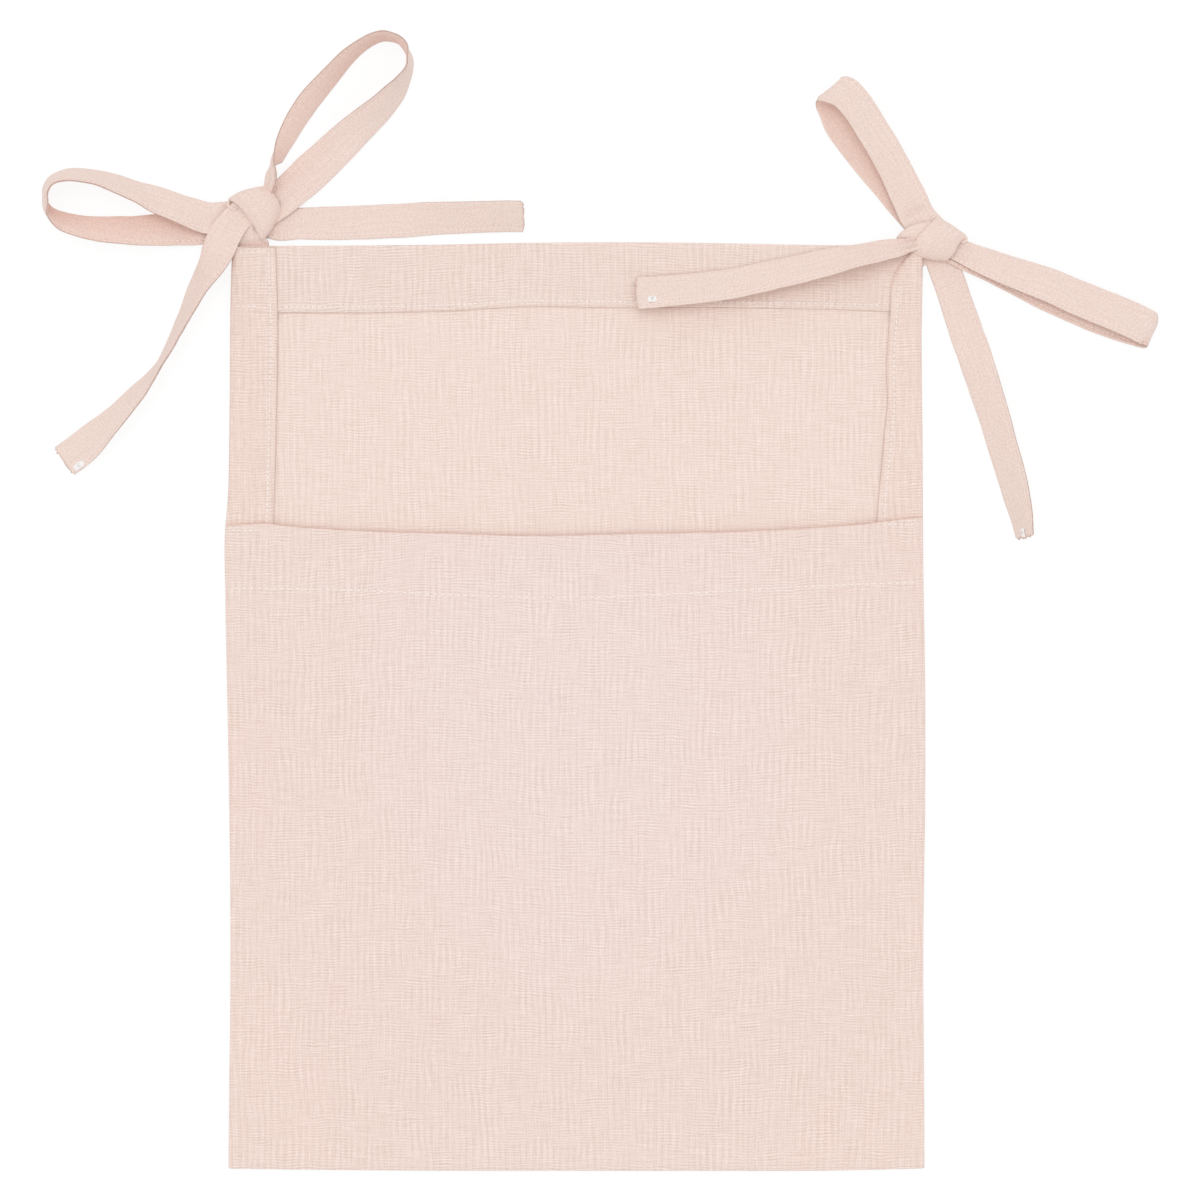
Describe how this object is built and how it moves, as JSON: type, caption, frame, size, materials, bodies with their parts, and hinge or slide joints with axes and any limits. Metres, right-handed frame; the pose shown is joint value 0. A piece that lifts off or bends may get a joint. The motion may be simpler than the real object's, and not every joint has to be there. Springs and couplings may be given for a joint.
{
  "type": "hanging crib organizer",
  "caption": "Flat cloth crib organizer: one deep pocket on a hemmed back panel, with self-fabric ties knotted in bows at its top corners.",
  "frame": {"origin": "middle of the back panel's underside, on the surface that the organizer lies on", "axes": "+X to the viewer's right, +Y to the tied top edge, +Z out of the cloth's front"},
  "size_m": [0.4792, 0.4902, 0.0135],
  "materials": {
    "panel_cloth": "plain weave, matte",
    "pocket_cloth": "plain weave, matte",
    "tie_cloth": "plain weave, matte"
  },
  "bodies": {
    "panel": {"back_panel": "panel_cloth", "top_hem": "panel_cloth", "left_side_hem": "panel_cloth", "right_side_hem": "panel_cloth", "left_seam_allowance": "panel_cloth", "right_seam_allowance": "panel_cloth", "bottom_seam_allowance": "panel_cloth", "left_tie_root": "tie_cloth", "left_knot_bundle": "tie_cloth", "left_knot_band": "tie_cloth", "right_tie_root": "tie_cloth", "right_knot_bundle": "tie_cloth", "right_knot_band": "tie_cloth", "right_knot_under_band": "tie_cloth"},
    "pocket": {"pocket_front": "pocket_cloth", "pocket_mouth_hem": "pocket_cloth"},
    "left_side_loop_strap": {"left_side_loop": "tie_cloth"},
    "left_top_loop_strap": {"left_top_loop": "tie_cloth"},
    "left_long_tail_strap": {"left_long_tail": "tie_cloth"},
    "left_hanging_tail_strap": {"left_hanging_tail": "tie_cloth"},
    "right_top_loop_strap": {"right_top_loop": "tie_cloth"},
    "right_side_loop_strap": {"right_side_loop": "tie_cloth"},
    "right_long_tail_strap": {"right_long_tail": "tie_cloth"},
    "right_hanging_tail_strap": {"right_hanging_tail": "tie_cloth"}
  },
  "joints": [
    {"name": "pocket_open", "type": "hinge", "parent": "panel", "child": "pocket", "pos_m": [0, -0.1995, 0.0009], "axis": [1, 0, 0], "range_deg": [0, 8]},
    {"name": "left_side_loop_lift", "type": "hinge", "parent": "panel", "child": "left_side_loop_strap", "pos_m": [-0.1624, 0.2086, 0.0033], "axis": [0, 1, 0], "range_deg": [0, 60]},
    {"name": "left_top_loop_lift", "type": "hinge", "parent": "panel", "child": "left_top_loop_strap", "pos_m": [-0.1311, 0.2201, 0.008], "axis": [0.5878, -0.809, 0], "range_deg": [0, 60]},
    {"name": "left_long_tail_lift", "type": "hinge", "parent": "panel", "child": "left_long_tail_strap", "pos_m": [-0.1195, 0.2077, 0.0013], "axis": [0, -1, 0], "range_deg": [0, 60]},
    {"name": "left_hanging_tail_lift", "type": "hinge", "parent": "panel", "child": "left_hanging_tail_strap", "pos_m": [-0.146, 0.2102, 0.0048], "axis": [-0.829, 0.5592, 0], "range_deg": [0, 60]},
    {"name": "right_top_loop_lift", "type": "hinge", "parent": "panel", "child": "right_top_loop_strap", "pos_m": [0.1454, 0.2119, 0.0042], "axis": [0.866, 0.5, 0], "range_deg": [0, 60]},
    {"name": "right_side_loop_lift", "type": "hinge", "parent": "panel", "child": "right_side_loop_strap", "pos_m": [0.1696, 0.1934, 0.0062], "axis": [-0.342, -0.9397, 0], "range_deg": [0, 60]},
    {"name": "right_long_tail_lift", "type": "hinge", "parent": "panel", "child": "right_long_tail_strap", "pos_m": [0.1421, 0.1979, 0.0084], "axis": [-0.2419, 0.9703, 0], "range_deg": [0, 60]},
    {"name": "right_hanging_tail_lift", "type": "hinge", "parent": "panel", "child": "right_hanging_tail_strap", "pos_m": [0.1599, 0.1854, 0.0012], "axis": [-0.9563, -0.2924, 0], "range_deg": [0, 60]}
  ]
}
